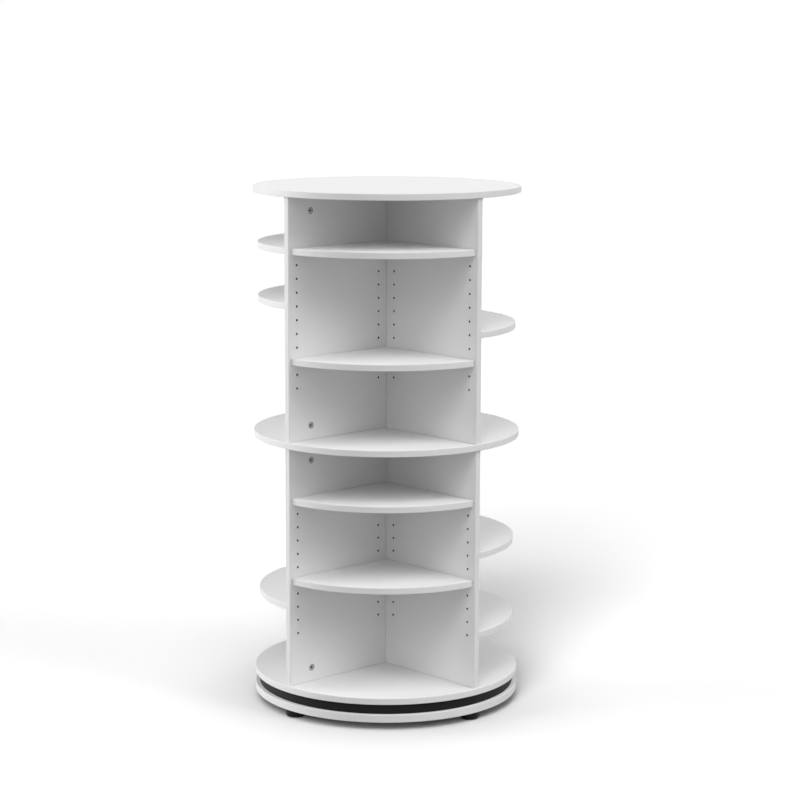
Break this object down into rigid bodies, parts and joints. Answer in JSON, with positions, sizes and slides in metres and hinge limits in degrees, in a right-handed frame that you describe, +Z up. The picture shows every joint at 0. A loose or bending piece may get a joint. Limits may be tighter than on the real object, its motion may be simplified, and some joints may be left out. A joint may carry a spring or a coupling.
{
  "type": "rotating media tower",
  "caption": "Round white storage tower that turns on a ball-bearing swivel: crossed walls between round plates, with peg-in quarter shelves for discs and books.",
  "frame": {"origin": "on the floor, on the turning axis", "axes": "+Z up the turning axis; the wall arms lie along +X, +Y, -X and -Y; the pictured front quarter lies between +X and -Y"},
  "size_m": [0.64, 0.64, 1.25],
  "materials": {
    "white_board": "white melamine-faced chipboard with white edge band, matt",
    "black_board": "black board ring, matt",
    "black_plastic": "black moulded glide, satin",
    "zinc_steel": "zinc-plated",
    "beech": "raw fluted dowel"
  },
  "bodies": {
    "base": {"base_plate": "white_board", "plinth_ring": "black_board", "foot_1": "black_plastic", "foot_2": "black_plastic", "foot_3": "black_plastic", "foot_4": "black_plastic", "foot_screw_1": "zinc_steel", "foot_screw_2": "zinc_steel", "foot_screw_3": "zinc_steel", "foot_screw_4": "zinc_steel", "lower_race": "zinc_steel", "lower_race_screw_1": "zinc_steel", "lower_race_screw_2": "zinc_steel", "lower_race_screw_3": "zinc_steel", "lower_race_screw_4": "zinc_steel"},
    "ball_cage": {"ball_cage": "zinc_steel"},
    "tower": {"upper_race": "zinc_steel", "upper_race_screw_1": "zinc_steel", "upper_race_screw_2": "zinc_steel", "upper_race_screw_3": "zinc_steel", "upper_race_screw_4": "zinc_steel", "bottom_plate": "white_board", "middle_plate": "white_board", "top_plate": "white_board", "lower_wide_wall": "white_board", "lower_half_wall_2": "white_board", "lower_half_wall_4": "white_board", "lower_wall_dowel_1": "beech", "lower_wall_dowel_2": "beech", "upper_wide_wall": "white_board", "upper_half_wall_2": "white_board", "upper_half_wall_4": "white_board", "upper_wall_dowel_1": "beech", "upper_wall_dowel_2": "beech", "bottom_cam_fitting_1": "zinc_steel", "bottom_cam_fitting_2": "zinc_steel", "bottom_cam_fitting_3": "zinc_steel", "bottom_cam_fitting_4": "zinc_steel", "middle_cam_fitting_1": "zinc_steel", "middle_cam_fitting_2": "zinc_steel", "middle_cam_fitting_3": "zinc_steel", "middle_cam_fitting_4": "zinc_steel", "top_cam_fitting_1": "zinc_steel", "top_cam_fitting_2": "zinc_steel", "top_cam_fitting_3": "zinc_steel", "top_cam_fitting_4": "zinc_steel", "front_lower_shelf_1": "white_board", "front_lower_shelf_2": "white_board", "front_upper_shelf_1": "white_board", "front_upper_shelf_2": "white_board", "right_lower_shelf_1": "white_board", "right_lower_shelf_2": "white_board", "right_upper_shelf_1": "white_board", "back_lower_shelf_1": "white_board", "back_lower_shelf_2": "white_board", "back_upper_shelf_1": "white_board", "back_upper_shelf_2": "white_board", "left_lower_shelf_1": "white_board", "left_upper_shelf_1": "white_board", "left_upper_shelf_2": "white_board"}
  },
  "joints": [
    {"name": "tower_spin", "type": "hinge", "parent": "base", "child": "tower", "pos_m": [0, 0, 0.0505], "axis": [0, 0, 1], "continuous": true},
    {"name": "ball_cage_spin", "type": "hinge", "parent": "base", "child": "ball_cage", "pos_m": [0, 0, 0.0505], "axis": [0, 0, 1], "continuous": true}
  ],
  "couplings": [
    {"joint": "ball_cage_spin", "follows": "tower_spin", "ratio": 0.5}
  ]
}
